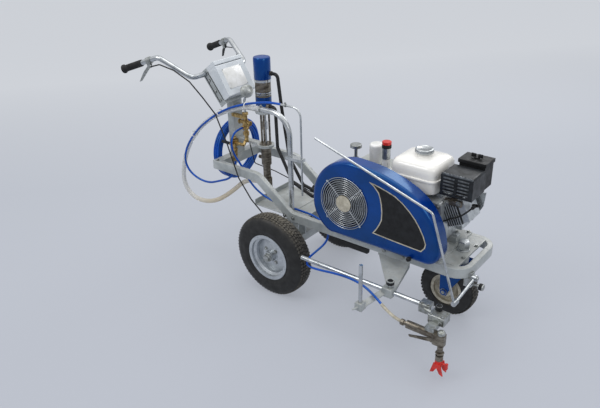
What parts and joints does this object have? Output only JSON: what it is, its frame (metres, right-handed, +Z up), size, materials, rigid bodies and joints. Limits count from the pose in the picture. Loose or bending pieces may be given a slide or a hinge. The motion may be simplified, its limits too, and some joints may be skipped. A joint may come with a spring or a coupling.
{
  "type": "line striping machine",
  "caption": "Walk-behind airless line striping machine with belt-driven hydraulic fluid pump, small petrol engine, swivel front wheel and side-mounted spray gun",
  "frame": {"origin": "middle of the bounding box footprint, on the ground the tyres stand on", "axes": "+X ahead, +Y to the operator's left (the side without the spray gun), +Z up"},
  "size_m": [1.8404, 0.8218, 1.0794],
  "materials": {
    "frame_paint": "satin",
    "white_box": "satin",
    "chrome": "polished",
    "black_rubber": "matte",
    "zinc": "satin",
    "black_paint": "satin",
    "steel": "satin",
    "brass": "worn",
    "clear_hose": "gloss",
    "blue_hose": "gloss",
    "engine_alloy": "cast",
    "tank_white": "gloss",
    "black_plastic": "matte",
    "cast_grey": "cast",
    "cover_blue": "gloss",
    "filter_white": "gloss",
    "red_plastic": "gloss",
    "tyre": "matte",
    "rim_cream": "satin"
  },
  "bodies": {
    "machine": {"near_side_tube": "frame_paint", "far_side_tube": "frame_paint", "front_bow": "frame_paint", "axle_carrier": "frame_paint", "engine_deck": "frame_paint", "column_post": "frame_paint", "console_box": "white_box", "pressure_gauge": "chrome", "handlebar": "chrome", "hand_grips": "black_rubber", "clamps_and_bolts": "zinc", "pump_cylinder": "steel", "pump_lower_cylinder": "steel", "paint_manifold": "brass", "pickup_tubes": "frame_paint", "suction_hose": "clear_hose", "return_hose": "blue_hose", "paint_hose_coil": "blue_hose", "gun_hose": "blue_hose", "hydraulic_hoses": "black_rubber", "control_cables": "black_rubber", "engine_block": "engine_alloy", "engine_shroud": "engine_alloy", "fuel_tank": "tank_white", "muffler": "black_paint", "air_cleaner": "black_plastic", "drive_belts": "black_rubber", "belt_cover": "cover_blue", "belt_back_plate": "cover_blue", "fan_grille": "chrome", "hydraulic_tank": "frame_paint", "hydraulic_pump": "cast_grey", "oil_filters": "filter_white", "arm_bracket": "frame_paint"},
    "box_lid": {"console_lid": "white_box"},
    "brake": {"brake_lever": "zinc"},
    "trigger": {"trigger_lever": "black_paint"},
    "pump_piston": {"pump_rod": "chrome"},
    "valve": {"valve_handle": "black_paint"},
    "throttle": {"throttle_lever": "black_paint"},
    "fuel_cap_body": {"fuel_cap": "chrome"},
    "crank": {"crank_pulley": "cast_grey"},
    "fan": {"fan_pulley": "cast_grey"},
    "pressure": {"pressure_knob": "chrome"},
    "filler": {"filler_cap": "red_plastic"},
    "near_wheel": {"near_tyre": "tyre", "near_rim": "zinc"},
    "far_wheel": {"far_tyre": "tyre", "far_rim": "zinc"},
    "caster": {"caster_fork": "cover_blue"},
    "front_wheel": {"front_tyre": "tyre", "front_rim": "rim_cream"},
    "arm": {"arm_bar": "chrome"},
    "gun": {"gun_clamp": "zinc", "spray_gun": "steel"},
    "gun_trigger_body": {"gun_trigger": "steel"},
    "tip": {"spray_tip": "red_plastic"},
    "stud": {"arm_stud": "chrome"},
    "pointer_stub": {"pointer_arm": "chrome"},
    "pointer": {"pointer_rod": "chrome"}
  },
  "joints": [
    {"name": "near_wheel_spin", "type": "hinge", "parent": "machine", "child": "near_wheel", "pos_m": [-0.04805, -0.19148, 0.2], "axis": [0, 1, 0], "continuous": true},
    {"name": "far_wheel_spin", "type": "hinge", "parent": "machine", "child": "far_wheel", "pos_m": [-0.04805, 0.35252, 0.2], "axis": [0, 1, 0], "continuous": true},
    {"name": "caster_swivel", "type": "hinge", "parent": "machine", "child": "caster", "pos_m": [0.76937, 0.08052, 0.28672], "axis": [0.0654, 0, 0.9979], "continuous": true},
    {"name": "front_wheel_spin", "type": "hinge", "parent": "caster", "child": "front_wheel", "pos_m": [0.71268, 0.08052, 0.12508], "axis": [0, 1, 0], "continuous": true},
    {"name": "box_lid_hinge", "type": "hinge", "parent": "machine", "child": "box_lid", "pos_m": [-0.53818, 0.08052, 1.00362], "axis": [0, -1, 0], "range_deg": [0, 80]},
    {"name": "brake_squeeze", "type": "hinge", "parent": "machine", "child": "brake", "pos_m": [-0.75511, -0.17706, 1.02608], "axis": [-0.2409, 0.9704, 0.0158], "range_deg": [0, 18], "stiffness_Nm_per_rad": 0.6},
    {"name": "trigger_squeeze", "type": "hinge", "parent": "machine", "child": "trigger", "pos_m": [-0.75511, 0.3381, 1.02608], "axis": [0.2409, 0.9704, -0.0158], "range_deg": [0, 16], "stiffness_Nm_per_rad": 0.4},
    {"name": "pump_stroke", "type": "slide", "parent": "machine", "child": "pump_piston", "axis": [-0.0654, 0, -0.9979], "range_m": [0, 0.064]},
    {"name": "valve_turn", "type": "hinge", "parent": "machine", "child": "valve", "pos_m": [-0.43899, -0.00548, 0.62648], "axis": [0, -1, 0], "range_deg": [0, 90]},
    {"name": "throttle_swing", "type": "hinge", "parent": "machine", "child": "throttle", "pos_m": [0.76546, 0.17852, 0.51747], "axis": [0.9979, 0, -0.0654], "range_deg": [-30, 30]},
    {"name": "fuel_cap_turn", "type": "hinge", "parent": "machine", "child": "fuel_cap_body", "pos_m": [0.58775, 0.08452, 0.72654], "axis": [0.0654, 0, 0.9979], "range_deg": [0, 90]},
    {"name": "fan_spin", "type": "hinge", "parent": "machine", "child": "fan", "pos_m": [0.32849, -0.08948, 0.51705], "axis": [0, 1, 0], "continuous": true},
    {"name": "crank_spin", "type": "hinge", "parent": "machine", "child": "crank", "pos_m": [0.6358, -0.08948, 0.46584], "axis": [0, 1, 0], "continuous": true},
    {"name": "pressure_turn", "type": "hinge", "parent": "machine", "child": "pressure", "pos_m": [0.2863, 0.03552, 0.71423], "axis": [0.0654, 0, 0.9979], "range_deg": [-135, 135]},
    {"name": "filler_cap_lift", "type": "slide", "parent": "machine", "child": "filler", "axis": [0.0654, 0, 0.9979], "range_m": [0, 0.045]},
    {"name": "arm_slide", "type": "slide", "parent": "machine", "child": "arm", "axis": [0.9979, 0, -0.0654], "range_m": [-0.03, 0.12], "deforming": ["gun_hose"]},
    {"name": "gun_tilt", "type": "hinge", "parent": "arm", "child": "gun", "pos_m": [0.77775, -0.24948, 0.23105], "axis": [-0.9979, 0, 0.0654], "range_deg": [-8, 40], "deforming": ["gun_hose"]},
    {"name": "gun_trigger_pull", "type": "hinge", "parent": "gun", "child": "gun_trigger_body", "pos_m": [0.85758, -0.34948, 0.16469], "axis": [0, 1, 0], "range_deg": [0, 8], "stiffness_Nm_per_rad": 0.3},
    {"name": "tip_turn", "type": "hinge", "parent": "gun", "child": "tip", "pos_m": [0.88389, -0.34948, 0.07678], "axis": [0.0654, 0, 0.9979], "range_deg": [0, 180]},
    {"name": "stud_slide", "type": "slide", "parent": "machine", "child": "stud", "axis": [0.0654, 0, 0.9979], "range_m": [0, 0.02]},
    {"name": "pointer_swing", "type": "hinge", "parent": "machine", "child": "pointer_stub", "pos_m": [0.8725, -0.02648, 0.26994], "axis": [0.9979, 0, -0.0654], "range_deg": [0, 15]},
    {"name": "pointer_unfold", "type": "hinge", "parent": "pointer_stub", "child": "pointer", "pos_m": [0.84549, -0.15148, 0.20957], "axis": [0, 1, 0], "range_deg": [0, 100]}
  ],
  "couplings": [
    {"joint": "crank_spin", "follows": "fan_spin", "ratio": 2.3012}
  ]
}
